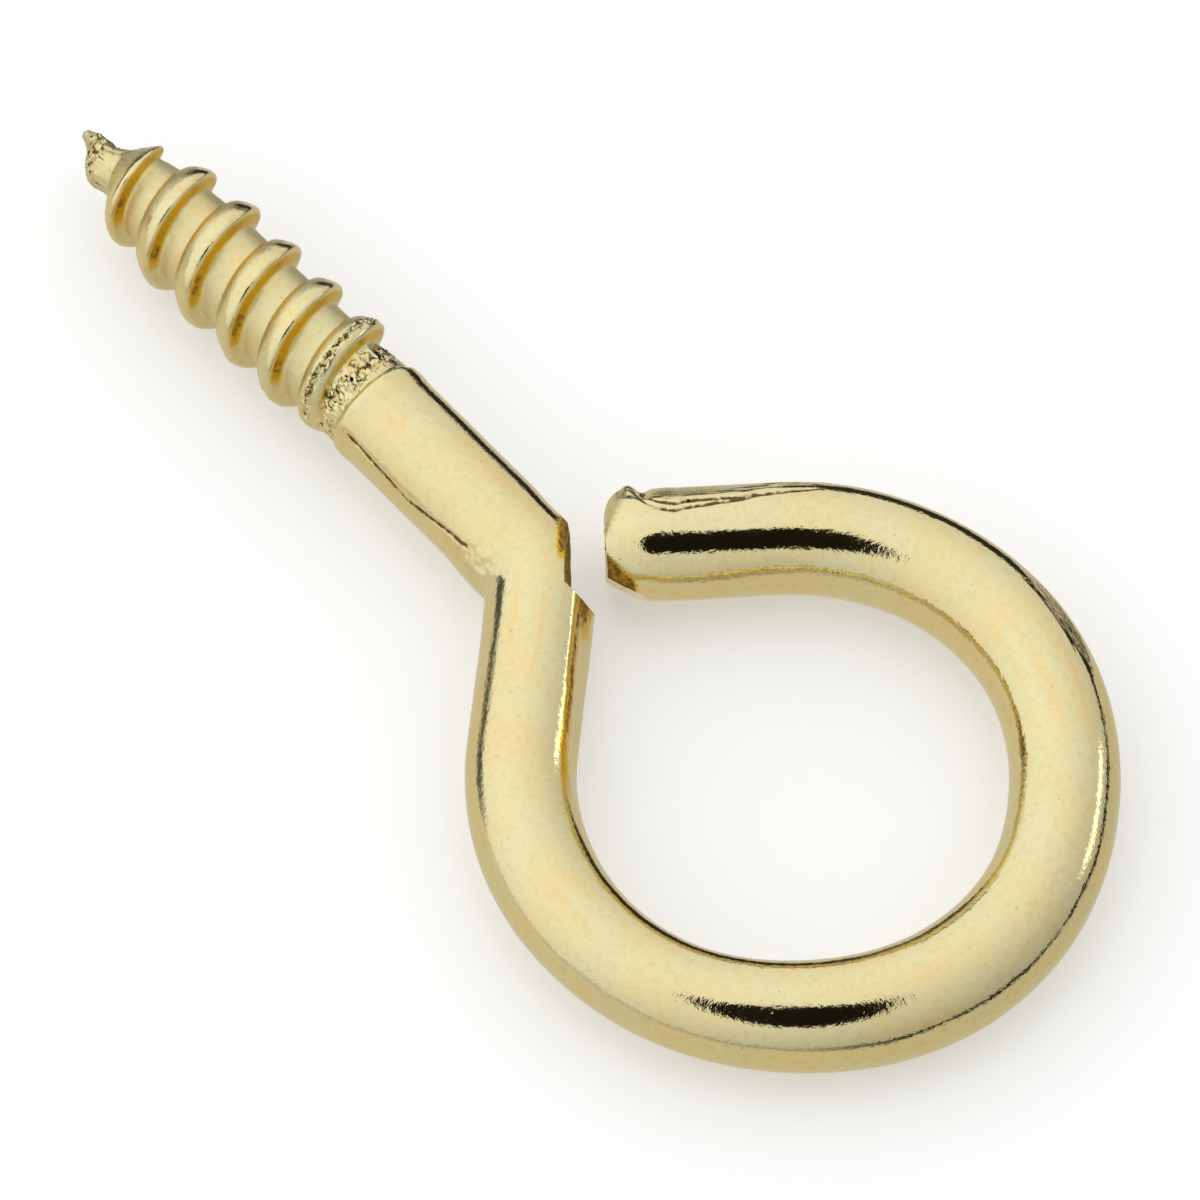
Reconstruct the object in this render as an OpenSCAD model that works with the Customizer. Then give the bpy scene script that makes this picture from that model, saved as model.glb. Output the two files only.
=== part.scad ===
// Screw eye, formed from one length of wire.
//
// The shank runs along the X axis. The shoulder, where the thread meets the plain shank, is at
// X = 0 and the point is towards -X. The eye lies flat in the XY plane, so +Z looks through it.

/* [Wire] */
// Diameter of the wire
wire_d = 2.7; // [2.6:0.1:3.6]

/* [Shank and bend] */
// Length of the plain shank, from the shoulder to the start of the bend
shank_len = 5.6; // [2:0.1:25]
// Angle by which the bend turns the wire away from the shank
bend_angle = 48; // [40:1:60]
// Radius of the wire's surface on the inside of the bend
bend_inner_r = 0.4; // [0.2:0.05:1.2]
// Growth of the wire's diameter in the bend, where the metal is crowded together
bend_swell = 0.05; // [0.03:0.01:0.2]
// Depth of the dent that the closing tool leaves in the outside of the bend
dent_depth = 0.75; // [0.3:0.05:1]
// Angle of the dent's deepest line round the bend, measured from the arm of the eye
dent_angle = 8; // [5:1:25]
// Slope of the dent's short side, which ends in a sharp lip on the arm
dent_slope = 36; // [20:1:45]
// Slope of the dent's long side, down towards the shank
dent_tilt = 2; // [0:1:15]

/* [Eye] */
// Inside diameter of the eye
eye_inner_d = 10.5; // [8:0.1:30]
// Distance of the eye's centre from the line of the shank, towards the open end
eye_offset = 0.8; // [0:0.1:1.5]
// Angle that the round part of the eye turns through
eye_turn = 279; // [272:1:285]
// Gap between the cut end and the dented outside of the bend
end_gap = 1; // [0.6:0.1:2.5]
// Loss of the wire's diameter in the straight lengths on both sides, where the die held them
die_squeeze = 0.04; // [0.03:0.01:0.2]
// Length of the sheared corner on the eye's side of the cut end
shear_len = 0.9; // [0.3:0.1:1.2]
// Depth of the sheared corner
shear_depth = 0.65; // [0.2:0.05:0.8]
// Angle by which the sheared corner is rolled round the wire, towards its underside
shear_roll = 12; // [0:1:45]
// Depth of the flat that the mandrel leaves along the straight arm, on the eye's side
arm_flat = 0.06; // [0.02:0.01:0.2]

/* [Thread] */
// Length of the thread, from the point to the shoulder
thread_len = 10.4; // [8:0.1:25]
// Distance from one turn of the ridge to the next
pitch = 1.48; // [1.3:0.02:2]
// Diameter over the ridge
crest_d = 3.2; // [2.8:0.05:4]
// Diameter of the core between the turns
core_d = 2.4; // [1.8:0.05:2.4]
// Width of the rounded top of the ridge
crest_land = 0.22; // [0.1:0.02:0.3]
// Length along the shank of the ridge's slope that faces the point
lead_flank = 0.42; // [0.2:0.02:0.5]
// Length along the shank of the ridge's steep side that faces the eye
back_flank = 0.16; // [0.1:0.02:0.3]
// Height of the ridge's crown above the edges of its top
crest_crown = 0.06; // [0.02:0.01:0.1]
// Length over which the core narrows to the point
point_len = 3.2; // [2:0.1:6]
// Distance from the point at which the ridge starts to rise
ridge_start = 1.1; // [0.4:0.1:3]
// Length over which the ridge rises to its full height
ridge_rise = 1.6; // [0.5:0.1:3]
// Angle at which the thread starts round the shank
thread_phase = 265; // [0:5:355]
// Angle by which the threaded length leans away from the line of the shank
thread_lean = 1.25; // [0:0.25:2]
// Length of the run-out, where the ridge sinks away before the shoulder
runout_len = 0.9; // [0.5:0.1:2]
// Distance from the end of the run-out to the shoulder
runout_gap = 0.25; // [0:0.05:1]
// Height of the step from the end of the thread up to the shank
shoulder_step = 0.08; // [0.05:0.01:0.15]
// Length of the slope that eases the edge of the shoulder
shoulder_ease = 0.2; // [0.1:0.05:0.5]

/* [Hidden] */

// Sides of the wire's round sections and steps round the eye
wire_fn = 64;
eye_fn = 180;
// Steps in one turn of the thread, and rings of points from its first turn to the tip
turn_steps = 32;
tip_rings = 4;
// How far one length of wire reaches into the next
lap = 0.1;
// Size of a cutting block, several times as wide as the wire that it cuts
block = 8 * wire_d;

wire_r = wire_d / 2;
held_r = wire_r - die_squeeze / 2;
eye_r = eye_inner_d / 2 + wire_r;
bend_r = bend_inner_r + wire_r;

// Straight arm between the bend and the round part of the eye
arm_len = (eye_r * cos(bend_angle) - eye_offset) / sin(bend_angle) - bend_r * tan(bend_angle / 2);

// Centre of the bend, where the arm leaves it, and centre of the eye
bend_centre = [shank_len, -bend_r];
out_of_bend = [sin(bend_angle), cos(bend_angle)];
bend_exit = bend_centre + bend_r * out_of_bend;
eye_centre = bend_exit + arm_len * [cos(bend_angle), -sin(bend_angle)] + eye_r * out_of_bend;

// Straight end: its direction, where it leaves the round part, and its length up to the gap
end_angle = eye_turn - bend_angle;
end_dir = [cos(end_angle), sin(end_angle)];
end_start = eye_centre + eye_r * [sin(end_angle), -cos(end_angle)];
end_len = (bend_centre - end_start) * end_dir - bend_r - wire_r + dent_depth - end_gap;

// Length of wire along X
module straight(length, d) {
  rotate([0, 90, 0])
    cylinder(h = length, d = d, $fn = wire_fn);
}

// Wire bent round the Z axis, from the given start angle on
module bent(r, d, start, turn, steps) {
  rotate_extrude(start = start, angle = turn, $fn = steps)
    translate([r, 0])
      circle(d = d, $fn = wire_fn);
}

// Plain shank, with the edge of its shoulder eased
module shank() {
  translate([shoulder_ease, 0, 0])
    straight(shank_len + lap - shoulder_ease, wire_d);
  rotate([0, 90, 0])
    cylinder(h = shoulder_ease, r1 = wire_r - shoulder_step / 2, r2 = wire_r, $fn = wire_fn);
}

// Block that cuts the dent: a short slope to the arm and a long one to the shank
module dent() {
  translate([bend_centre.x, bend_centre.y, -block / 2])
    rotate([0, 0, 90 - bend_angle + dent_angle])
      translate([bend_r + wire_r - dent_depth, 0, 0])
        linear_extrude(block)
          polygon([[0, 0], block * [sin(dent_slope), -cos(dent_slope)],
                   [block, 0], block * [-sin(dent_tilt), cos(dent_tilt)]]);
}

// Straight arm of the eye, with the mandrel's flat on its upper side
module arm() {
  difference() {
    translate([-lap, 0, 0])
      straight(arm_len + 2 * lap, held_r * 2);
    translate([-block / 2, held_r - arm_flat, -block / 2])
      cube([block + arm_len, block, block]);
  }
}

// Straight end after the round part, with one corner sheared off
module cut_end() {
  difference() {
    translate([-lap, 0, 0])
      straight(end_len + lap, held_r * 2);
    rotate([-shear_roll, 0, 0])
      translate([end_len, held_r - shear_depth, 0])
        rotate([0, 0, -atan2(shear_depth, shear_len)])
          translate([-block / 2, 0, -block / 2])
            cube(block);
  }
}

// Places what follows the bend, with the arm along X
module after_bend() {
  translate([bend_exit.x, bend_exit.y, 0])
    rotate([0, 0, -bend_angle])
      children();
}

module bent_wire() {
  difference() {
    union() {
      shank();
      translate([bend_centre.x, bend_centre.y, 0])
        bent(bend_r, wire_d + bend_swell, 90 - bend_angle, bend_angle, wire_fn);
      after_bend()
        arm();
    }
    dent();
  }
  after_bend()
    translate([arm_len, eye_r, 0]) {
      bent(eye_r, wire_d, -90, eye_turn, eye_fn);
      rotate([0, 0, eye_turn])
        translate([0, -eye_r, 0])
          cut_end();
    }
}

// 0 below zero, 1 above one, and a smooth rise between
function ease(t) = let(u = min(1, max(0, t))) u * u * (3 - 2 * u);

// Radius of the core at a distance from the point: pointed at first, flared at the shoulder, and
// slimmer again inside the shank, so that a leaning thread stays hidden there
end_r = wire_r - shoulder_step;
hidden_taper = 0.08;
function core_at(s) =
  core_d / 2 * (1 - pow(1 - min(1, s / point_len), 2)) +
  (end_r - core_d / 2) * ease(1 + (s - thread_len) / runout_len) -
  hidden_taper * max(0, s - thread_len);

// Share of the ridge's height that stands at a distance from the point
function ridge_at(s) =
  ease((s - ridge_start) / ridge_rise) * ease((thread_len - runout_gap - s) / runout_len);

// Ridge across one pitch, as pairs of place along the shank and share of the ridge's height
ridge_h = (crest_d - core_d) / 2;
shoulder_share = 1 - crest_crown / ridge_h;
ridge_w = lead_flank + crest_land + back_flank;
ridge = [
  [0, 0],
  [pitch - ridge_w, 0],
  [pitch - ridge_w + lead_flank * 0.5, 0.35 * shoulder_share],
  [pitch - back_flank - crest_land, shoulder_share],
  [pitch - back_flank - crest_land / 2, 1],
  [pitch - back_flank, shoulder_share],
  [pitch - back_flank * 0.4, 0.2 * shoulder_share]
];
ridge_n = len(ridge);

// First distance from the point, and steps until the whole last turn lies inside the shank
first_s = 0.12;
step_n = ceil((thread_len + 2 * pitch - first_s) / pitch * turn_steps);

function round_shank(s, r, angle) = [s - thread_len, r * cos(angle), r * sin(angle)];
function thread_angle(i) = thread_phase + 360 * i / turn_steps;
function thread_s(i, j) = first_s + pitch * i / turn_steps + ridge[j][0];
function thread_point(i, j) =
  let(s = thread_s(i, j))
  round_shank(s, core_at(s) + ridge_h * ridge[j][1] * ridge_at(s), thread_angle(i));

// Edge of the first turn, as pairs of step and place on the ridge, which the tip closes
tip_edge = concat(
  [for (i = [0 : turn_steps]) [i, 0]],
  [for (j = [ridge_n - 1 : -1 : 1]) [0, j]]
);
// Edge of the last turn, which is closed inside the shank
root_edge = concat(
  [for (i = [step_n - turn_steps : step_n]) [i, ridge_n - 1]],
  [for (j = [ridge_n - 2 : -1 : 0]) [step_n, j]]
);

function tip_point(k, e) =
  let(s = thread_s(e[0], e[1]) * k / tip_rings)
  round_shank(s, core_at(s), thread_angle(e[0]));

edge_n = len(tip_edge);
tip_base = (step_n + 1) * ridge_n;
apex = tip_base + (tip_rings - 1) * edge_n;
function thread_id(i, j) = i * ridge_n + j;
function tip_id(k, e) =
  k == tip_rings ? thread_id(tip_edge[e % edge_n][0], tip_edge[e % edge_n][1])
                 : tip_base + (k - 1) * edge_n + e % edge_n;

thread_points = concat(
  [for (i = [0 : step_n]) for (j = [0 : ridge_n - 1]) thread_point(i, j)],
  [for (k = [1 : tip_rings - 1]) for (e = tip_edge) tip_point(k, e)],
  [[-thread_len, 0, 0], [pitch, 0, 0]]
);

thread_faces = concat(
  [for (i = [0 : step_n - 1]) for (j = [0 : ridge_n - 2])
    [thread_id(i, j), thread_id(i, j + 1), thread_id(i + 1, j + 1), thread_id(i + 1, j)]],
  [for (i = [0 : step_n - turn_steps - 1])
    [thread_id(i, ridge_n - 1), thread_id(i + turn_steps, 0),
     thread_id(i + turn_steps + 1, 0), thread_id(i + 1, ridge_n - 1)]],
  [for (k = [1 : tip_rings - 1]) for (e = [0 : edge_n - 1])
    [tip_id(k, e), tip_id(k + 1, e), tip_id(k + 1, e + 1), tip_id(k, e + 1)]],
  [for (e = [0 : edge_n - 1]) [apex, tip_id(1, e), tip_id(1, e + 1)]],
  [for (e = [0 : len(root_edge) - 1])
    let(a = root_edge[e], b = root_edge[(e + 1) % len(root_edge)])
    [apex + 1, thread_id(b[0], b[1]), thread_id(a[0], a[1])]]
);

module thread() {
  rotate([0, 0, thread_lean])
    polyhedron(thread_points, thread_faces, convexity = 10);
}

module screw_eye() {
  color("#e0c672") {
    bent_wire();
    thread();
  }
}

screw_eye();
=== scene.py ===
import math

import bpy
from mathutils import Matrix, Vector, noise


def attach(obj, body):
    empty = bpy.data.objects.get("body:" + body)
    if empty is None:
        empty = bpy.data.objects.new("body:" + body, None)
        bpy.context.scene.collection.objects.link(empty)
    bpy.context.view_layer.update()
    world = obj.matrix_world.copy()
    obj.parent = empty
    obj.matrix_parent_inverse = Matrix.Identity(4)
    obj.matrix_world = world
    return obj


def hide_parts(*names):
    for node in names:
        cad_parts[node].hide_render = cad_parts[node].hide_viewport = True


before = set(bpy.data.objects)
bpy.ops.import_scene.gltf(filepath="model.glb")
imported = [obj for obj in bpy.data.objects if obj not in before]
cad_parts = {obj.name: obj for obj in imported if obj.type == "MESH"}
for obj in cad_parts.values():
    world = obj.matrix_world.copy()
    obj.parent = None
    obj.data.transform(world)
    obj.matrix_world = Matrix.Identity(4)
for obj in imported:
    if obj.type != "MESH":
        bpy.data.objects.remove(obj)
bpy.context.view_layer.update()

# Sizes in millimetres, the same as in the part's source. The shank runs along X, with the shoulder
# of the thread at X = 0 and the point towards -X. The eye lies flat, and +Z looks through it.
WIRE_R = 1.35
SHANK_LEN = 5.6
BEND_TURN = 48.0
BEND_R = 1.75
ARM_LEN = 4.087
EYE_R = 6.6
EYE_TURN = 279.0
END_LEN = 4.258
DENT_DEPTH = 0.75

THREAD_LEN = 10.4
PITCH = 1.48
CORE_R = 1.2
# A little over the ridge's height, for what smoothing takes off it
RIDGE_H = 0.42
RUNOUT_LEN = 0.9
RUNOUT_GAP = 0.25
SHOULDER_STEP = 0.08
HIDDEN_TAPER = 0.08
THREAD_PHASE = 265.0
THREAD_LEAN = 1.25
# Where the ridge's first turn starts, from the tip, and the turn that the dies tore
RIDGE_START = 0.12
TORN_TURN = 6.66

# Faces round the wire, and steps round one turn of the thread
WIRE_SIDES = 90
TURN_STEPS = 52

# Length round the wire's skin for each degree
SKIN_DEGREE = 0.0236

# What each point of the skin is, from 0 to 1: painted after the cuts, and read by the brass. The second
# layer is painted reflection and shade, and the last one darkens lines
SKIN_LAYERS = ("dull", "painted_reflection_and_shade", "torn", "dark_lines")


def heading(degrees):
    """Level direction at an angle from the shank's."""
    return Vector((math.cos(math.radians(degrees)), math.sin(math.radians(degrees)), 0))


# Middle line of the wire: where each length starts, and what it turns about
BEND_CENTRE = Vector((SHANK_LEN, -BEND_R, 0))
BEND_EXIT = BEND_CENTRE + BEND_R * heading(90 - BEND_TURN)
EYE_START = BEND_EXIT + ARM_LEN * heading(-BEND_TURN)
EYE_CENTRE = EYE_START + EYE_R * heading(90 - BEND_TURN)
END_HEADING = EYE_TURN - BEND_TURN
END_START = EYE_CENTRE + EYE_R * heading(END_HEADING - 90)
CUT_FACE = END_START + END_LEN * heading(END_HEADING)

# Distance along the wire, from the shoulder to the start of each length
BEND_RUN = SHANK_LEN
ARM_RUN = BEND_RUN + math.radians(BEND_TURN) * BEND_R
EYE_RUN = ARM_RUN + ARM_LEN
END_RUN = EYE_RUN + math.radians(EYE_TURN) * EYE_R
CUT_RUN = END_RUN + END_LEN


# ---- Working by hand ---------------------------------------------------------------------------

def edit():
    bpy.ops.object.mode_set(mode="EDIT")


def leave_edit():
    bpy.ops.object.mode_set(mode="OBJECT")


def pick(*objects):
    """Selects only these objects and makes the first one active."""
    bpy.ops.object.select_all(action="DESELECT")
    for item in objects:
        item.select_set(True)
    if objects:
        bpy.context.view_layer.objects.active = objects[0]


def settle(piece):
    """Puts the object's place and turn into its mesh."""
    pick(piece)
    bpy.ops.object.transform_apply(location=True, rotation=True, scale=True)


def pick_where(piece, part, wanted):
    """Selects, in edit mode, the faces or points of a piece that lie where wanted(point) is true."""
    leave_edit()
    mesh = piece.data
    for item in (*mesh.vertices, *mesh.edges, *mesh.polygons):
        item.select = False
    for item in getattr(mesh, part):
        item.select = wanted(item.center if part == "polygons" else item.co)
    edit()
    bpy.ops.mesh.select_mode(type="FACE" if part == "polygons" else "VERT")


def pick_rim(piece, wanted):
    """Selects, in edit mode, the open rim whose points lie where wanted(point) is true."""
    pick_where(piece, "vertices", wanted)
    bpy.ops.mesh.select_mode(type="EDGE")
    bpy.ops.mesh.select_all(action="DESELECT")
    bpy.ops.mesh.select_non_manifold(use_wire=False, use_multi_face=False, use_non_contiguous=False,
                                     use_verts=False)
    leave_edit()
    mesh = piece.data
    for edge in mesh.edges:
        if edge.select and not all(wanted(mesh.vertices[v].co) for v in edge.vertices):
            edge.select = False
    for vertex in mesh.vertices:
        vertex.select = False
    for edge in mesh.edges:
        if edge.select:
            for v in edge.vertices:
                mesh.vertices[v].select = True
    edit()


def close_rim(centre, loops):
    """Closes the selected rim with loops that shrink to one point."""
    for loop in range(loops, 1, -1):
        bpy.ops.mesh.extrude_region_move()
        share = (loop - 1) / loop
        bpy.ops.transform.resize(value=(share, share, share), center_override=tuple(centre))
    bpy.ops.mesh.extrude_region_move()
    bpy.ops.mesh.merge(type="CENTER")


def draw_straight(degrees, length, steps):
    """Draws the selected rim out in a straight line, in equal steps."""
    step = heading(degrees) * (length / steps)
    for _ in range(steps):
        bpy.ops.mesh.extrude_region_move(TRANSFORM_OT_translate={"value": tuple(step)})


def clean(piece):
    """Merges what touches and turns every face outwards."""
    pick(piece)
    edit()
    bpy.ops.mesh.select_all(action="SELECT")
    bpy.ops.mesh.remove_doubles(threshold=0.0005)
    bpy.ops.mesh.normals_make_consistent(inside=False)
    leave_edit()


def apply_modifiers(piece):
    pick(piece)
    for modifier in list(piece.modifiers):
        bpy.ops.object.modifier_apply(modifier=modifier.name)


def cut_or_join(piece, tool, operation):
    """Boolean of a piece with a tool, which is used up."""
    modifier = piece.modifiers.new(operation.title(), "BOOLEAN")
    modifier.object = tool
    modifier.operation = operation
    modifier.solver = "EXACT"
    apply_modifiers(piece)
    bpy.data.objects.remove(tool)


def ease(t):
    """Smooth step: 0 up to t = 0, and 1 from t = 1 on."""
    t = min(1.0, max(0.0, t))
    return t * t * (3 - 2 * t)


def hump(x, middle, half):
    """1 in the middle, falling smoothly to 0 at half the width to each side."""
    t = (x - middle) / half
    return (1 - t * t) ** 2 if abs(t) < 1 else 0.0


def between(x, points):
    """Value at x on a line through points of (x, value)."""
    for (x0, v0), (x1, v1) in zip(points, points[1:]):
        if x <= x1:
            return v0 + (v1 - v0) * max(0.0, (x - x0) / (x1 - x0))
    return points[-1][1]


def fine_line(across):
    """1 on a line about 0.1 mm wide, and 0 beside it."""
    return math.exp(-(across / 0.05) ** 2)


def grain(p, size, octaves=3):
    """Uneven height between about -1 and 1, with bumps of a size in millimetres."""
    return noise.fractal(Vector(p) / size, 0.8, 2.1, octaves)


def cracks(p, size, width=0.16):
    """1 along thin wandering lines about a size apart, and 0 between them."""
    return max(0.0, 1 - abs(noise.fractal(Vector(p) / size, 0.9, 2.2, 2)) / width)


# ---- Wire --------------------------------------------------------------------------------------

def draw_wire():
    """Wire from the shoulder to the cut end: a circle drawn straight, bent, and bent into the eye."""
    pick()
    bpy.ops.mesh.primitive_circle_add(vertices=WIRE_SIDES, radius=WIRE_R, rotation=(0, math.pi / 2, 0))
    wire = bpy.context.object
    wire.name = "formed_wire"
    settle(wire)
    edit()
    bpy.ops.mesh.select_all(action="SELECT")
    draw_straight(0, SHANK_LEN, 64)
    # Spin turns clockwise, seen from above, where its axis points up
    bpy.ops.mesh.spin(steps=26, angle=math.radians(BEND_TURN), center=tuple(BEND_CENTRE), axis=(0, 0, 1))
    draw_straight(-BEND_TURN, ARM_LEN, 44)
    bpy.ops.mesh.spin(steps=160, angle=math.radians(EYE_TURN), center=tuple(EYE_CENTRE), axis=(0, 0, -1))
    draw_straight(END_HEADING, END_LEN - 0.6, 46)
    draw_straight(END_HEADING, 0.6, 24)
    close_rim(CUT_FACE, 5)
    pick_rim(wire, lambda p: abs(p.x) < 0.01)
    close_rim((0, 0, 0), 3)
    leave_edit()
    clean(wire)
    return wire


def on_wire(p):
    """Distance of a point along the wire, its angle round it (0 towards the inside of the eye and
    90 on top), the nearest point of the middle line, and the direction of the wire there."""
    back = p - END_START
    ahead = heading(END_HEADING)
    run = back.dot(ahead)
    if -0.001 < run < END_LEN + 0.5 and abs(back.dot(heading(END_HEADING + 90))) < 1.8:
        middle = END_START + run * ahead
        length = END_RUN + run
    else:
        out = Vector((p.x, p.y, 0)) - EYE_CENTRE
        turn = math.degrees(math.atan2(out.y, out.x)) + 90 + BEND_TURN
        bend_out = Vector((p.x, p.y, 0)) - BEND_CENTRE
        bend = 90 - math.degrees(math.atan2(bend_out.y, bend_out.x))
        if -0.01 <= turn <= EYE_TURN + 0.01 and out.length > 4:
            ahead = heading(turn - BEND_TURN)
            middle = EYE_CENTRE + EYE_R * out.normalized()
            length = EYE_RUN + math.radians(turn) * EYE_R
        elif 0 < bend < BEND_TURN and bend_out.length < 4:
            ahead = heading(-bend)
            middle = BEND_CENTRE + BEND_R * bend_out.normalized()
            length = BEND_RUN + math.radians(bend) * BEND_R
        elif p.x <= SHANK_LEN + 0.001 and abs(p.y) < 2:
            ahead = heading(0)
            middle = Vector((p.x, 0, 0))
            length = p.x
        else:
            ahead = heading(-BEND_TURN)
            run = (p - BEND_EXIT).dot(ahead)
            middle = BEND_EXIT + run * ahead
            length = ARM_RUN + run
    side = Vector((-ahead.y, ahead.x, 0))
    out = p - middle
    return length, math.degrees(math.atan2(out.z, out.dot(side))), middle, ahead


def eye_turn(run):
    """Direction from the eye's centre to a distance along the wire, as an angle from the shank."""
    return math.degrees((run - EYE_RUN) / EYE_R) - 90 - BEND_TURN


def press_flat(lift, angle, facing, depth):
    """Lift of a point of the round wire once a flat is pressed into the side that faces an angle."""
    turned = math.cos(math.radians(angle - facing))
    if depth <= 0 or turned <= 0.3:
        return lift
    return min(lift, (WIRE_R - depth) / turned - WIRE_R)


def shoulder_marks(run, angle):
    """Edge of the shank where the thread starts: eased, rolled over and uneven."""
    edge = math.radians(angle)
    uneven = grain((math.cos(edge) * 1.3, math.sin(edge) * 1.3, run * 0.5), 0.45)
    lift = -0.10 * (1 - ease(run / 0.22)) + 0.03 * hump(run, 0.38, 0.4)
    return lift + 0.03 * uneven * (1 - ease(run / 0.5))


# Scratch of the drawing die on the far side of the shank, and the fold that starts in the corner of
# the bend and dies out along the arm, as (distance along the wire, angle round it)
DIE_LINE = [(0.3, 152), (0.7, 153), (2.76, 160), (4.77, 147), (5.2, 146)]
FOLD = [(6.2, 152), (7.4, 130), (9.0, 134), (10.4, 133), (12.5, 128)]


def die_line(run, angle):
    """1 along the scratch of the drawing die."""
    across = (angle % 360 - between(run, DIE_LINE)) * SKIN_DEGREE
    return fine_line(across) * ease((run - DIE_LINE[0][0]) / 0.4) * ease((DIE_LINE[-1][0] - run) / 0.5)


def bend_marks(run, angle, p):
    """Crowded metal inside the bend, the metal drawn in next to the dent, the fold and the flat."""
    inside = hump(angle % 360, 180, 75)
    lift = 0.10 * inside * hump(run, 5.3, 1.3)
    lift += 0.04 * inside * hump(run, 6.6, 1.6)
    lift -= 0.05 * hump(angle, 10, 50) * hump(run, 5.4, 0.9)
    wrinkled = hump(angle % 360, 152, 44) * hump(run, 5.3, 1.05)
    lift += 0.070 * wrinkled * grain((p.x, p.y * 1.3, p.z), 0.36)
    if FOLD[0][0] < run < FOLD[-1][0]:
        across = (angle - between(run, FOLD)) * SKIN_DEGREE
        depth = between(run, [(6.2, 0.0), (6.9, 0.020), (7.6, 0.010), (8.6, 0.006), (12.5, 0.0)])
        lift -= depth * ease((across + 0.16) / 0.32) * math.exp(-max(0.0, across) / 0.6)
    # Flat on the arm from the lip of the dent on
    flat = between(run, [(6.4, 0.0), (6.9, 0.20), (9.4, 0.16), (11.2, 0.09), (13.0, 0.0)])
    return press_flat(lift, angle, 18, flat)


def sheared_corner(run, angle):
    """1 on the small facet that the shears left on the rim of the cut end, which the skin paints brown."""
    reach = between(angle, [(-10, 0.0), (-2, 0.72), (14, 0.74), (22, 0.62), (32, 0.36), (43, 0.10),
                            (47, 0.0)])
    return ease((reach - (CUT_RUN - run)) / 0.10)


# Middle of the bending tool's marks on the outside of the eye
TOOL_RUN = 36.2
TOOL_ANGLE = 136


def eye_marks(run, angle):
    """Slightly oval, uneven wire of the eye, with the bending tool's marks on its outside."""
    turn = eye_turn(run)
    lift = -0.07 * hump(turn, -78, 42) + 0.05 * hump(turn, -12, 40) + 0.03 * hump(turn, 130, 30)
    marks = hump(angle, TOOL_ANGLE, 22) * hump(run, TOOL_RUN, 1.5)
    lift += 0.045 * marks * grain((run * 0.22, angle * SKIN_DEGREE * 3.4, 0), 0.36, 2)
    lift -= 0.04 * hump(angle, 146, 9) * hump(run, 34.35, 0.22)
    return press_flat(lift, angle, TOOL_ANGLE + 5, 0.055 * hump(run, TOOL_RUN, 1.7))


def eye_shift(turn):
    """How far the eye's middle line lies outside a true circle, at an angle from the shank."""
    return 0.10 * hump(turn, 0, 45) - 0.07 * hump(turn, 48, 35) - 0.05 * hump(turn, -42, 35)


# Crease along the top of the free end, as (distance along the wire, angle round it)
CREASE = [(42.2, 126), (42.8, 120), (43.8, 114), (44.6, 106), (45.3, 102), (45.9, 97), (46.3, 101),
          (46.6, 113), (46.9, 130)]


def on_crease(run, angle):
    """How deep a point lies in the crease's lower and upper line, from 0 to 1."""
    fade = ease((run - CREASE[0][0]) / 1.2) * (1 - ease((run - 46.75) / 0.25))
    across = (angle - between(run, CREASE)) * SKIN_DEGREE + 0.035 * grain((run, 0, 0), 0.5, 2)
    apart = between(run, [(43.6, 0.0), (45.2, 0.20), (46.6, 0.26)])
    return fade * fine_line(across), fade * fine_line(across - apart)


def free_end_marks(run, angle):
    """Cut end: its top drawn down by the shears, with a burr, a notch and a torn crease."""
    to_cut = CUT_RUN - run
    lift = -0.34 * (1 - min(1.0, to_cut / 1.35)) ** 2 * hump(angle, 62, 84)
    corner = min(1.0, max(0.0, 1 - to_cut / 0.55))
    outside = ease((angle % 360 - 60) / 75) * ease((300 - angle % 360) / 60)
    lift -= 0.70 * (1 - math.sqrt(1 - corner ** 2)) * outside
    lift += 0.09 * hump(angle, -4, 52) * hump(to_cut, 2.0, 2.2)
    lift -= 0.06 * sheared_corner(run, angle) * (1 - min(1.0, to_cut / 0.9))
    if run > CREASE[0][0]:
        # Flat above the crease, and the double line of the crease itself
        depth = between(run, [(42.6, 0.0), (44.0, 0.035), (45.5, 0.075), (46.6, 0.10), (47.6, 0.08)])
        lift = press_flat(lift, angle, 137, depth)
        lift -= 0.045 * max(on_crease(run, angle))
        above = hump(angle, between(run, CREASE) + 20, 18)
        lift += 0.020 * above * grain((run * 0.25, angle * 0.06, 0), 0.22)
    # Burr, notch and bulge on the rim
    lift += 0.14 * hump(to_cut, 0.60, 0.26) * hump(angle, 148, 26)
    lift -= 0.15 * hump(to_cut, 0.96, 0.22) * hump(angle, 144, 34)
    lift += 0.05 * hump(to_cut, 1.45, 0.40) * hump(angle, 142, 26)
    return lift


def work_wire(wire):
    """Moves the wire's skin in and out, where the tools pressed, drew or crowded the metal."""
    mesh = wire.data
    for vertex in mesh.vertices:
        p = vertex.co.copy()
        run, angle, middle, ahead = on_wire(p)
        out = p - middle
        depth = out.length / WIRE_R
        if depth < 0.02:
            continue
        lift = 0.004 * grain(p, 1.1)
        if run < 1.0:
            lift += shoulder_marks(run, angle)
        if DIE_LINE[0][0] < run < DIE_LINE[-1][0]:
            lift -= 0.032 * die_line(run, angle) * (0.7 + 0.5 * grain(p, 0.3, 2))
        if 3.8 < run < 13:
            lift += bend_marks(run, angle, p)
        if EYE_RUN - 0.5 < run < END_RUN + 2.4:
            lift += eye_marks(run, angle)
        if run > 41.5:
            lift += free_end_marks(run, angle)
        vertex.co = p + out.normalized() * lift * min(1.0, depth) ** 2
        if EYE_RUN < run < END_RUN:
            vertex.co += eye_shift(eye_turn(run)) * heading(eye_turn(run))
        if run > CUT_RUN - 0.001:
            # Sheared face: hollow, and torn lower down
            vertex.co += ahead * (0.03 * grain(p, 0.35) - 0.05 * (1 - depth ** 2))


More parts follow.
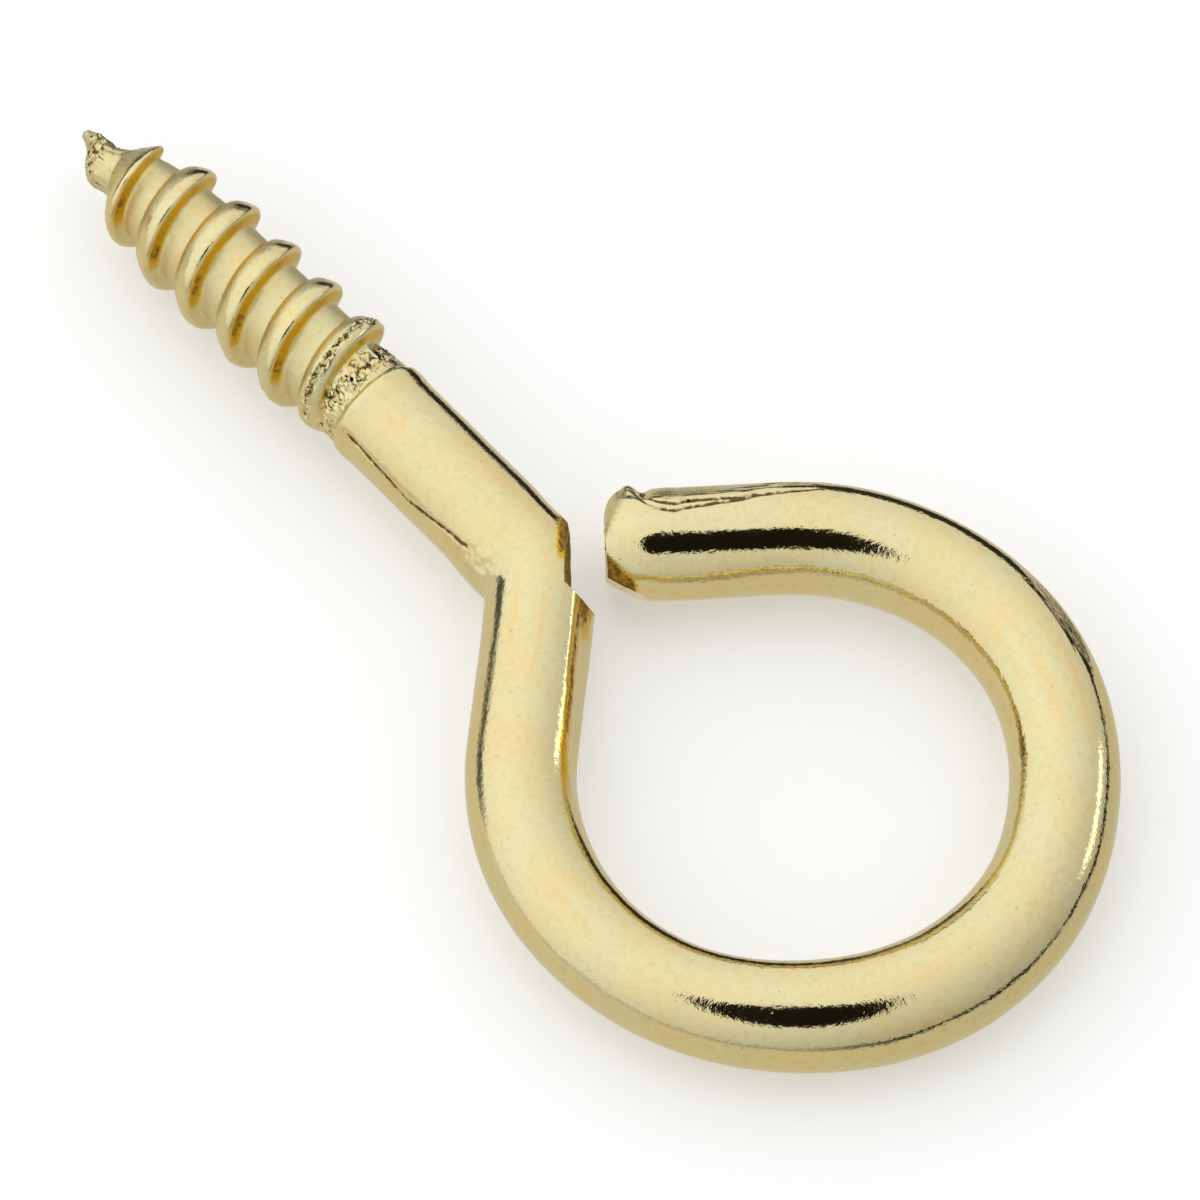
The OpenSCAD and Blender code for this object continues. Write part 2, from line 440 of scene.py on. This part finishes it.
def refine(piece, wanted, cuts):
    """More faces where fine marks need them."""
    pick(piece)
    pick_where(piece, "polygons", wanted)
    bpy.ops.mesh.subdivide(number_cuts=cuts)
    leave_edit()


def needs_more_faces(p):
    """Where the wire's marks are finer than its faces."""
    run, angle, _, _ = on_wire(p)
    shoulder = run < 0.45
    scratch = run < DIE_LINE[-1][0] and 142 < angle < 166
    inside_bend = 3.9 < run < 6.3 and 108 < angle % 360 < 200
    tool_marks = 35 < run < 37.6 and 118 < angle < 150
    crease = run > CREASE[0][0] and 84 < angle < 156
    return shoulder or scratch or inside_bend or tool_marks or crease


# ---- Thread ------------------------------------------------------------------------------------

# One turn of the ridge: place along the shank as a share of the pitch, and share of its height
RIDGE = [(0.00, 0.00), (0.16, 0.00), (0.32, 0.00), (0.375, 0.02), (0.388, 0.20), (0.409, 0.37),
         (0.441, 0.50), (0.495, 0.63), (0.56, 0.755), (0.628, 0.87), (0.695, 0.955), (0.765, 1.015),
         (0.832, 1.00), (0.862, 0.88), (0.885, 0.42), (0.905, 0.05)]

# Radius of the core from the point on, and how far its middle line bows aside there
CORE = [(0.0, 0.0), (0.05, 0.10), (0.19, 0.165), (0.36, 0.235), (0.50, 0.29), (0.62, 0.38),
        (0.80, 0.47), (1.0, 0.55), (1.2, 0.60), (1.5, 0.66), (1.8, 0.74), (2.2, 0.90), (2.8, 1.04),
        (3.5, 1.12), (4.4, CORE_R)]
BOW = [(0.0, 0.04), (0.19, 0.05), (0.36, 0.03), (0.50, 0.0), (0.62, -0.09), (0.80, -0.17), (1.0, -0.21),
       (1.2, -0.19), (1.5, -0.04), (1.8, 0.02), (2.4, 0.0)]


def core_at(s):
    """Radius of the core at a distance from the point."""
    core = between(s, CORE) - 0.025 * hump(s, 6.0, 4)
    core += (WIRE_R - SHOULDER_STEP - CORE_R) * ease(1 + (s - THREAD_LEN) / RUNOUT_LEN)
    return core - HIDDEN_TAPER * max(0.0, s - THREAD_LEN)


def ridge_at(s):
    """Share of the ridge's height at a distance from the point."""
    return ease((s - 1.0) / 1.2) * ease((THREAD_LEN - RUNOUT_GAP - s) / RUNOUT_LEN)


def turns_wound(s, angle):
    """Turns of the ridge from its start to a point. The whole part counts the ridges that lie before
    the point, and the rest is its place across the outline."""
    return (s - RIDGE_START) / PITCH - (angle - THREAD_PHASE) / 360


def wind_thread():
    """Thread: the ridge's outline wound on with Screw, and closed at both ends."""
    pick()
    # Starts one turn before the tip. It is drawn in to the point later.
    bpy.ops.mesh.primitive_circle_add(vertices=3, radius=0.01,
                                      location=(RIDGE_START - THREAD_LEN - PITCH, CORE_R, 0))
    thread = bpy.context.object
    thread.name = "thread"
    settle(thread)
    edit()
    bpy.ops.mesh.select_mode(type="VERT")
    bpy.ops.mesh.select_all(action="SELECT")
    bpy.ops.mesh.merge(type="CENTER")
    for before, after in zip(RIDGE, RIDGE[1:] + [(1.0, 0.0)]):
        step = ((after[0] - before[0]) * PITCH, (after[1] - before[1]) * RIDGE_H, 0)
        bpy.ops.mesh.extrude_region_move(TRANSFORM_OT_translate={"value": step})
    leave_edit()
    thread.rotation_euler.x = math.radians(THREAD_PHASE)
    settle(thread)
    winding = thread.modifiers.new("Winding", "SCREW")
    winding.axis = "X"
    winding.angle = math.tau
    winding.screw_offset = PITCH
    winding.iterations = 8
    winding.steps = winding.render_steps = TURN_STEPS
    apply_modifiers(thread)
    clean(thread)
    edit()
    pick_rim(thread, lambda p: p.x > -1)
    close_rim((1.2, 0, 0), 1)
    pick_rim(thread, lambda p: p.x < -8)
    close_rim((-THREAD_LEN, 0, 0), 1)
    leave_edit()
    smooth = thread.modifiers.new("Smooth", "SUBSURF")
    smooth.levels = smooth.render_levels = 1
    apply_modifiers(thread)
    return thread


def around_shank(p):
    """Distance of a point from the tip, its angle round the thread and its distance from the core's
    middle line, whatever the lean and the bow."""
    level = Matrix.Rotation(math.radians(-THREAD_LEAN), 4, "Z") @ Vector(p)
    s = level.x + THREAD_LEN
    y = level.y - between(s, BOW)
    return s, math.degrees(math.atan2(level.z, y)), math.hypot(y, level.z)


def galling(s, share):
    """1 where the end of the dies pitted the core, next to the shoulder. Share is the height up the
    ridge."""
    return hump(s, THREAD_LEN - 0.35, 0.75) * (1 - min(1.0, share * 2))


def work_thread(thread):
    """Draws the thread down to the point and the shoulder, and roughens it as rolling left it."""
    mesh = thread.data
    for vertex in mesh.vertices:
        p = vertex.co.copy()
        radius = math.hypot(p.y, p.z)
        s = p.x + THREAD_LEN
        if radius < 0.02:
            continue
        if s < 0.05:
            # Next to the point and past it, everything meets there
            vertex.co = (-THREAD_LEN, BOW[0][1], 0)
            continue
        share = max(0.0, (radius - CORE_R) / RIDGE_H)
        wanted = core_at(s) + RIDGE_H * share * ridge_at(s)
        if radius < CORE_R * 0.9:
            wanted *= radius / CORE_R
        around = Vector((s, p.y / radius * wanted, p.z / radius * wanted))
        wanted += 0.010 * grain((s * 0.6, around.y, around.z), 0.35) * (0.4 + share)
        # Torn front of the last ridge, and pits in the run-out after it
        torn = hump(turns_wound(s, math.degrees(math.atan2(p.z, p.y))), TORN_TURN + 0.01, 0.11)
        pitted = galling(s, share)
        wanted += 0.045 * torn * grain(around, 0.10, 4) + 0.060 * pitted * grain(around, 0.22, 4)
        wanted -= 0.090 * torn * cracks(around, 0.20, 0.30) + 0.065 * pitted * cracks(around, 0.30)
        # Grainy, twisted point
        wanted += 0.040 * hump(s, 0.7, 1.3) * grain(around, 0.20, 4)
        wanted -= 0.030 * hump(s, 0.9, 1.2) * cracks(around, 0.35)
        vertex.co = (p.x, p.y * wanted / radius, p.z * wanted / radius)
        vertex.co.y += between(s, BOW)
    mesh.transform(Matrix.Rotation(math.radians(THREAD_LEAN), 4, "Z"))


# ---- Dent and sheared corner -------------------------------------------------------------------

def block(bottom, top, low, high, roughness):
    """Block with four corners each for its bottom and its top, and fine faces that are roughened."""
    pick()
    bpy.ops.mesh.primitive_cube_add()
    tool = bpy.context.object
    for number, corner in zip((0, 4, 6, 2), bottom):
        tool.data.vertices[number].co = (corner[0], corner[1], low)
    for number, corner in zip((1, 5, 7, 3), top):
        tool.data.vertices[number].co = (corner[0], corner[1], high)
    edit()
    bpy.ops.mesh.select_all(action="SELECT")
    bpy.ops.mesh.subdivide(number_cuts=31)
    leave_edit()
    clean(tool)
    for vertex in tool.data.vertices:
        vertex.co += Vector((1, 1, 0)) * roughness * grain(vertex.co, 0.40)
    return tool


# The dent: the way out of it and the way along it, its deepest line, the length and rise of its long
# slope, and how far both slopes lean outwards for each millimetre down
DENT_OUT = heading(90 - BEND_TURN + 8)
DENT_ALONG = Vector((-DENT_OUT.y, DENT_OUT.x, 0))
DENT_DEEPEST = BEND_CENTRE + DENT_OUT * (BEND_R + WIRE_R - DENT_DEPTH + 0.04) + 0.20 * DENT_ALONG
DENT_SLOPE = 2.4
DENT_RISE = 0.10
DENT_SLANT = 0.09


def dent_tool():
    """Closing tool: a long slope down from the shank and a short one up to the lip on the arm. Both
    slant, so that they cut deeper on top."""
    lip = 0.98 * DENT_OUT - 1.20 * DENT_ALONG
    far_end = DENT_DEEPEST + DENT_SLOPE * DENT_ALONG
    slant, rise = 2 * DENT_SLANT * DENT_OUT, 0.84 * DENT_ALONG
    bottom, top = ([DENT_DEEPEST + side * (slant + rise), DENT_DEEPEST + lip + side * rise,
                    far_end + 0.90 * DENT_OUT, far_end + DENT_RISE * DENT_OUT + side * slant]
                   for side in (1, -1))
    return block(bottom, top, -2, 2, 0.015)


def below_slope(p):
    """How far a point lies below the long slope of the dent."""
    off = p - DENT_DEEPEST
    return DENT_RISE * off.dot(DENT_ALONG) / DENT_SLOPE - off.dot(DENT_OUT) - DENT_SLANT * p.z


def shear_tool():
    """Slanting block that takes off the corner of the cut end towards the inside of the eye."""
    ahead, inside = heading(END_HEADING), heading(END_HEADING + 90)
    start = CUT_FACE - 0.9 * ahead + WIRE_R * inside
    slope = (0.9 * ahead - 0.55 * inside).normalized()
    away = Vector((-slope.y, slope.x, 0))
    corners = [start - 0.5 * slope, start + 1.35 * slope, start + 1.35 * slope + 0.6 * away,
               start - 0.5 * slope + 0.6 * away]
    tool = block(corners, corners, -3, 3, 0.002)
    tool.data.transform(Matrix.Translation(CUT_FACE) @ Matrix.Rotation(math.radians(-23), 4, ahead)
                        @ Matrix.Translation(-CUT_FACE))
    return tool


# ---- Skin: unrolled along the wire, and where it is dull, painted with reflection and shade, torn or darkened ---

def thread_skin(p):
    """How dull the thread is at a point, how much reflection and shade is painted on it, how torn it is and
    how dark its lines are.
    """
    s, angle, radius = around_shank(p)
    turn = turns_wound(s, angle)
    share = (radius - core_at(s)) / RIDGE_H
    crest = ease((share - 0.66) / 0.26)
    # Painted reflection: deep gold behind the ridge on top, browner and broken lower down.
    # Painted shade: a thin line at the root before the ridge
    behind = ease((turn % 1 - 0.855) / 0.02) * (1 - ease((turn % 1 - 0.90) / 0.05)) * ridge_at(s)
    lower = ease((angle % 360 - 112) / 30)
    behind *= (0.55 + 0.35 * lower) * (1 - 0.9 * ease((angle % 360 - 158) / 25))
    before = 0.6 * hump(turn % 1, 0.380, 0.035) * ridge_at(s)
    pitted = galling(s, share)
    point = hump(s, 0.6, 1.4)
    # Dark lines along the cracks of the torn turn, of the pits and of the point
    dark_lines = max(hump(turn, TORN_TURN - 0.01, 0.13) * cracks(p, 0.20, 0.30),
               pitted * cracks(p, 0.30), point * cracks(p, 0.28, 0.2))
    torn = max(hump(turn, TORN_TURN, 0.13), 0.6 * point, 0.35 * hump(turn % 1, 0.5, 0.3),
               0.6 * lower * behind)
    ragged = max(hump(turn, TORN_TURN, 0.16), pitted, 0.6 * point)
    return (1 - 0.8 * crest) * (1 - ragged), max(behind, before), torn, dark_lines


def wire_skin(p):
    """How dull the wire is at a point, how much reflection and shade is painted on it, how torn it is and
    how dark its lines are.
    """
    run, angle, middle, _ = on_wire(p)
    cut = WIRE_R - (p - middle).length
    around = angle % 360
    dented = 0.0
    if 3.8 < run < 8.7 and (around < 100 or around > 280):
        # Painted reflection: the lip is brown down in the dent, and lighter outwards and along the arm
        dented = ease((cut - 0.07) / 0.06) * (1 - 0.45 * ease((20 - angle) / 20) * ease((run - 6.4) / 0.5))
        dented *= 1 - ease((run - 7.1) / 1.5)
        dented = max(dented, ease((0.19 - below_slope(p)) / 0.10) * ease((6.7 - run) / 0.4))
    sheared = sheared_corner(run, angle)
    # Painted reflection in brown on the dent's facets and in a band along the arm; the sheared facet is
    # painted the same brown
    brown = max(dented, sheared, hump(run, 9.3, 4.6) * hump(angle, 37, 14))
    folds = 0.8 * hump(run, 5.2, 1.2) * hump(around, 155, 50)
    strip = hump(run, 45.6, 2.4) * hump(angle, 136, 30) if run > 43 else 0.0
    lower, upper = on_crease(run, angle)
    rim = ease((0.7 - CUT_RUN + run) / 0.3)
    # Strokes of the bending tool, drawn as dark lines, and scuffs on the arm and on the shank
    strokes = hump(angle, TOOL_ANGLE, 22) * hump(run, TOOL_RUN, 1.6)
    strokes *= cracks((run * 0.22, angle * 0.08, 0), 0.36, 0.35)
    scuffed = max(0.5 * hump(angle, 130, 26) * hump(run, 10.0, 5.0),
                  0.4 * hump(angle, 58, 24) * hump(run, 2.6, 3.4))
    dull = max(1.5 * dented, sheared, 0.5 * folds, 0.4 * strip, 0.7 * rim)
    torn = max(folds, strip, brown, scuffed, hump(run, 0, 0.5))
    # Dark lines along the die's scratch, the crease and the tool's strokes
    dark_lines = max(die_line(run, angle), lower, upper, strokes)
    # The second value is the painted brown reflection, with a little of the same paint on the strip above
    # the crease
    return dull, max(1.3 * brown, 0.2 * strip), torn, dark_lines


# Length of skin that the UV map spans, and how far before the shoulder it starts
UNROLLED = 60.0
UNROLLED_START = 12.0


def paint_skin(piece):
    """Unrolls the skin into a UV map, along the wire and round it, and stores how dull and torn each
    point is, how much reflection and shade is painted on it, and how dark its lines are."""
    mesh = piece.data
    spots, skins = [], []
    for vertex in mesh.vertices:
        if vertex.co.x < 0.0:
            s, angle, _ = around_shank(vertex.co)
            spots.append((s - THREAD_LEN, angle % 360))
            skins.append(thread_skin(vertex.co))
        else:
            run, angle, _, _ = on_wire(vertex.co)
            spots.append((run, angle % 360))
            skins.append(wire_skin(vertex.co))
    for number, name in enumerate(SKIN_LAYERS):
        layer = mesh.attributes.new(name, "FLOAT", "POINT")
        layer.data.foreach_set("value", [skin[number] for skin in skins])
    unrolled = mesh.uv_layers.new(name="along_wire")
    for face in mesh.polygons:
        angles = [spots[v][1] for v in face.vertices]
        if max(angles) - min(angles) > 180:
            angles = [a + 360 if a < 180 else a for a in angles]
        for loop, v, angle in zip(face.loop_indices, face.vertices, angles):
            unrolled.data[loop].uv = ((spots[v][0] + UNROLLED_START) / UNROLLED,
                                      math.radians(angle) * WIRE_R / UNROLLED)


def form_screw_eye():
    """The whole piece: wire and thread formed, the dent and the corner cut, and the two joined."""
    wire = draw_wire()
    refine(wire, needs_more_faces, 1)
    work_wire(wire)
    thread = wind_thread()
    refine(thread, lambda p: -1.8 < p.x < 0.1 or -10.5 < p.x < -9.3, 1)
    work_thread(thread)
    clean(thread)
    cut_or_join(wire, dent_tool(), "DIFFERENCE")
    cut_or_join(wire, shear_tool(), "DIFFERENCE")
    cut_or_join(wire, thread, "UNION")
    paint_skin(wire)
    wire.data.transform(Matrix.Scale(0.001, 4))
    pick(wire)
    bpy.ops.object.shade_smooth_by_angle(angle=math.radians(38))
    return wire


# ---- Brass -------------------------------------------------------------------------------------

class Nodes:
    """Short way to add and link a material's nodes."""

    def __init__(self, tree):
        self.tree = tree

    def add(self, kind, links=(), **settings):
        node = self.tree.nodes.new("ShaderNode" + kind)
        for name, value in settings.items():
            setattr(node, name, value)
        for socket, value in dict(links).items():
            if isinstance(value, bpy.types.NodeSocket):
                self.tree.links.new(value, node.inputs[socket])
            else:
                node.inputs[socket].default_value = value
        return node

    def math(self, operation, a, b=0.0, clamp=False):
        return self.add("Math", {0: a, 1: b}, operation=operation, use_clamp=clamp).outputs[0]

    def band(self, value, low, high, to_low=0.0, to_high=1.0):
        """Smooth step from one value to another, as the input goes from low to high."""
        node = self.add("MapRange", {"Value": value, "From Min": low, "From Max": high,
                                     "To Min": to_low, "To Max": to_high}, interpolation_type="SMOOTHSTEP")
        return node.outputs["Result"]

    def noise(self, vector, scale, detail=2.0, roughness=0.5):
        return self.add("TexNoise", {"Vector": vector, "Scale": scale, "Detail": detail,
                                     "Roughness": roughness}).outputs["Fac"]

    def mix(self, share, a, b):
        node = self.add("Mix", {"Factor": share}, data_type="RGBA")
        for socket, value in (("A", a), ("B", b)):
            target = [s for s in node.inputs if s.name == socket and s.type == "RGBA"][0]
            if isinstance(value, bpy.types.NodeSocket):
                self.tree.links.new(value, target)
            else:
                target.default_value = (*value, 1)
        return [s for s in node.outputs if s.type == "RGBA"][0]


# Colours of the plating, of the reflection and shade painted on it, and of the dark lines and pits
PALE_BRASS = (0.85, 0.775, 0.435)
WARM_BRASS = (0.89, 0.745, 0.385)
STREAK_BRASS = (0.92, 0.68, 0.30)
OLIVE_BRASS = (0.72, 0.60, 0.27)
REFLECTED_GOLD = (0.83, 0.52, 0.035)
LIGHT_REFLECTED_BROWN = (0.46, 0.25, 0.035)
DARK_REFLECTED_BROWN = (0.20, 0.115, 0.03)
DARK_LINE_BROWN = (0.15, 0.10, 0.03)
PIT = (0.30, 0.22, 0.07)


def brass_plate():
    """Bright brass plating: pale yellow, faintly clouded and streaked along the wire, with a fine
    orange-peel skin. It is duller on the thread, painted deep gold as reflection and shade where the skin
    marks it, brown and not metallic where that paint is strongest, and darker along its cracks and creases."""
    material = bpy.data.materials.new("brass_plate")
    material.use_nodes = True
    links = material.node_tree.links
    n = Nodes(material.node_tree)
    shader = material.node_tree.nodes["Principled BSDF"]
    place = n.add("TexCoord").outputs["Object"]
    along = n.add("UVMap", uv_map="along_wire").outputs["UV"]
    drawn = n.add("Mapping", {"Vector": along, "Scale": (1.0, 14.0, 1.0)}).outputs["Vector"]
    dull, painted_reflection_and_shade, torn, dark_lines = (n.add("Attribute", attribute_name=name).outputs["Fac"]
                                for name in SKIN_LAYERS)

    cloud = n.noise(place, 620, 3, 0.6)
    tint = n.mix(n.band(cloud, 0.40, 0.62), PALE_BRASS, WARM_BRASS)
    streaks = n.math("MULTIPLY", n.band(n.noise(drawn, 12, 2, 0.5), 0.50, 0.75),
                     n.band(n.noise(place, 380, 2, 0.5), 0.40, 0.60))
    tint = n.mix(n.math("MULTIPLY", streaks, 0.8), tint, STREAK_BRASS)
    tint = n.mix(n.band(n.noise(place, 5200, 2, 0.6), 0.48, 0.72, 0, 0.35), tint, OLIVE_BRASS)
    # Painted reflection and shade, patchy: deep gold, turning brown where it is strongest
    deep = n.math("MULTIPLY", painted_reflection_and_shade, n.band(n.noise(place, 3600, 4, 0.7), 0.34, 0.62, 0.55, 1.0))
    tint = n.mix(n.band(deep, 0.0, 0.45), tint, REFLECTED_GOLD)
    reflected_brown = n.mix(n.band(n.noise(place, 7000, 3, 0.6), 0.38, 0.62), LIGHT_REFLECTED_BROWN, DARK_REFLECTED_BROWN)
    tint = n.mix(n.band(deep, 0.5, 0.9), tint, reflected_brown)
    # Darker along the lines that the skin marks: the die's scratch, the crease, the tool's strokes and the
    # thread's cracks
    dark_lines = n.math("MULTIPLY", dark_lines, n.band(n.noise(place, 5000, 3, 0.6), 0.38, 0.60, 0.5, 1.2))
    tint = n.mix(n.band(dark_lines, 0.15, 0.75), tint, DARK_LINE_BROWN)
    specks = n.add("TexVoronoi", {"Vector": place, "Scale": 2100.0}).outputs["Distance"]
    often = n.math("ADD", n.noise(place, 900, 1, 0.5), n.math("MULTIPLY", dull, 0.13))
    rare = n.math("GREATER_THAN", often, 0.60)
    pit = n.math("MULTIPLY", n.band(specks, 0.08, 0.03), rare)
    tint = n.mix(n.math("MULTIPLY", pit, 0.5), tint, PIT)
    links.new(tint, shader.inputs["Base Color"])

    # Bare metal, except where the painted brown reflection and shade is strongest, which is not metallic so
    # that the brown shows plainly
    metal = n.band(deep, 0.45, 0.9, 1.0, 0.0)
    links.new(metal, shader.inputs["Metallic"])
    links.new(n.math("MULTIPLY", metal, 0.5), shader.inputs["Specular IOR Level"])
    gloss = n.band(n.noise(place, 900, 4, 0.6), 0.3, 0.75, 0.055, 0.10)
    gloss = n.math("ADD", gloss, n.math("MULTIPLY", dull, 0.22))
    links.new(gloss, shader.inputs["Roughness"])

    peel = n.math("MULTIPLY", n.noise(place, 8500, 2, 0.6), 1.9)
    swell = n.math("MULTIPLY", n.noise(place, 2600, 2, 0.5), 1.2)
    rolled = n.math("MULTIPLY", n.math("MULTIPLY", n.noise(drawn, 150, 3, 0.6), dull), 4.0)
    rough = n.math("MULTIPLY", n.math("MULTIPLY", n.noise(place, 6500, 4, 0.65), torn), 7.0)
    height = n.math("ADD", n.math("ADD", peel, swell), n.math("ADD", rolled, rough))
    height = n.math("SUBTRACT", height, n.math("MULTIPLY", pit, 1.2))
    bump = n.add("Bump", {"Height": height, "Strength": 1.0, "Distance": 0.000003})
    links.new(bump.outputs["Normal"], shader.inputs["Normal"])
    return material


screw_eye = form_screw_eye()
screw_eye.data.materials.clear()
screw_eye.data.materials.append(brass_plate())
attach(screw_eye, "root")
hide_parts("screw_eye")


# ---- Floor, light and camera -------------------------------------------------------------------

VIEW_AZIMUTH = math.radians(48.34)
VIEW_HEIGHT = math.radians(61)
TARGET = Vector((0.00777, 0.00055, 0))
FRAME_WIDTH = 0.02906
FLOOR_LEVEL = -0.00153
FLOOR_TILT = math.radians(-0.5)

to_camera = Vector((math.sin(VIEW_AZIMUTH) * math.cos(VIEW_HEIGHT),
                    -math.cos(VIEW_AZIMUTH) * math.cos(VIEW_HEIGHT), math.sin(VIEW_HEIGHT)))
camera_right = Vector((math.cos(VIEW_AZIMUTH), math.sin(VIEW_AZIMUTH), 0))
camera_far = Vector((-math.sin(VIEW_AZIMUTH), math.cos(VIEW_AZIMUTH), 0))


def lay_floor():
    """Pale floor under the thread's crest and the eye. It takes the screw eye's shadow, and lets
    the bright metal show the tent round it."""
    pick()
    bpy.ops.mesh.primitive_plane_add(size=1.2)
    floor = bpy.context.object
    floor.name = "floor"
    floor.data.transform(Matrix.Translation((0, 0, FLOOR_LEVEL)) @ Matrix.Rotation(FLOOR_TILT, 4, "Y"))
    material = bpy.data.materials.new("pale_floor")
    material.use_nodes = True
    n = Nodes(material.node_tree)
    links = material.node_tree.links
    matt = n.add("BsdfDiffuse", {"Color": (0.93, 0.93, 0.93, 1)})
    glow = n.add("Emission", {"Color": (1, 1, 1, 1), "Strength": 0.31})
    lit = n.add("AddShader", {0: matt.outputs[0], 1: glow.outputs[0]})
    rays = n.add("LightPath")
    seen = n.add("MixShader", {0: rays.outputs["Is Camera Ray"], 1: matt.outputs[0], 2: lit.outputs[0]})
    clear = n.add("BsdfTransparent")
    whole = n.add("MixShader", {0: rays.outputs["Is Glossy Ray"], 1: seen.outputs[0], 2: clear.outputs[0]})
    links.new(whole.outputs[0], material.node_tree.nodes["Material Output"].inputs["Surface"])
    floor.data.materials.append(material)


def hang_tent():
    """Soft white tent as the world: brighter to the left and above, with the dark opening that the
    camera looks through and the dark gap below its walls."""
    world = bpy.data.worlds.new("tent")
    bpy.context.scene.world = world
    world.use_nodes = True
    n = Nodes(world.node_tree)
    ray = n.add("TexCoord").outputs["Generated"]

    def towards(direction):
        return n.add("VectorMath", {0: ray, 1: tuple(direction)}, operation="DOT_PRODUCT").outputs["Value"]

    up = towards((0, 0, 1))
    right, far = towards(camera_right), towards(camera_far)
    level = n.math("SQRT", n.math("SUBTRACT", 1.0, n.math("MULTIPLY", up, up)))

    def facing(degrees):
        """Cosine of the level angle between a ray and a direction, counted from the viewer's side
        round by the right."""
        aim = -camera_far * math.cos(math.radians(degrees)) + camera_right * math.sin(math.radians(degrees))
        return n.math("DIVIDE", towards(aim), level)

    light = n.math("ADD", 0.69, n.math("MULTIPLY", up, 0.23))
    light = n.math("ADD", light, n.math("MULTIPLY", right, -0.20))
    light = n.math("ADD", light, n.math("MULTIPLY", far, 0.13))
    floor_light = n.math("ADD", 0.64, n.math("MULTIPLY", right, -0.06))

    # Dark gap between the walls and the floor: deep on the right and far sides, faint on the left
    wobble = n.math("MULTIPLY", n.math("SUBTRACT", n.noise(ray, 2.6, 1), 0.5), 0.20)
    height = n.math("ADD", up, wobble)
    corner = n.band(facing(-140), 0.72, 0.93)
    top = n.math("ADD", -0.08, n.math("MULTIPLY", corner, 0.15))
    bottom = n.math("ADD", -0.24, n.math("MULTIPLY", n.band(facing(170), 0.72, 0.98), -0.26))
    gap = n.math("MULTIPLY", n.band(n.math("SUBTRACT", top, height), 0.0, 0.035),
                 n.band(n.math("SUBTRACT", height, bottom), 0.0, 0.05))
    depth = n.math("MAXIMUM", n.band(facing(105), -0.35, 0.25, 0.28, 0.97), n.math("MULTIPLY", corner, 0.92))
    gap = n.math("MULTIPLY", gap, depth)

    # Opening for the camera: round, and drawn in on the right
    aside = n.math("ADD", right, 0.04)
    narrow = n.math("MULTIPLY", n.math("MULTIPLY", aside, aside), n.band(right, -0.1, 0.1, 0.12, 0.35))
    hole = n.band(n.math("SUBTRACT", towards(to_camera), narrow), 0.925, 0.937)
    dark = n.math("MAXIMUM", gap, hole)

    # Slit on the right that lets a bright line in
    slit = n.math("MULTIPLY", n.band(facing(109), 0.975, 0.985), n.band(up, 0.10, 0.12))
    slit = n.math("MULTIPLY", slit, n.band(up, 0.25, 0.23))
    light = n.math("ADD", light, n.math("MULTIPLY", slit, 1.2))

    ground = n.band(n.math("SUBTRACT", bottom, height), -0.04, 0.03)
    light = n.math("ADD", n.math("MULTIPLY", light, n.math("SUBTRACT", 1.0, ground)),
                   n.math("MULTIPLY", floor_light, ground))
    colour = n.mix(ground, (1, 1, 1), (0.98, 0.91, 0.76))
    colour = n.mix(dark, colour, (0.012, 0.010, 0.008))
    tent = n.add("Background", {"Color": colour, "Strength": light})
    plain = n.add("Background", {"Color": (0.97, 0.97, 0.97, 1), "Strength": 1.0})
    rays = n.add("LightPath")
    whole = n.add("MixShader", {0: rays.outputs["Is Camera Ray"], 1: tent.outputs[0], 2: plain.outputs[0]})
    world.node_tree.links.new(whole.outputs[0], world.node_tree.nodes["World Output"].inputs["Surface"])


def place_camera():
    """Camera far off, with a long lens, so that what is near hardly looks larger."""
    camera = bpy.data.objects.new("camera", bpy.data.cameras.new("camera"))
    bpy.context.collection.objects.link(camera)
    camera.data.sensor_width = 36
    camera.data.lens = 800
    camera.data.clip_start = 0.01
    camera.data.clip_end = 5
    distance = FRAME_WIDTH * camera.data.lens / camera.data.sensor_width
    camera.location = TARGET + to_camera * distance
    camera.rotation_euler = to_camera.to_track_quat("Z", "Y").to_euler()
    bpy.context.scene.camera = camera


lay_floor()
hang_tent()
place_camera()
bpy.context.scene.view_settings.view_transform = "Standard"
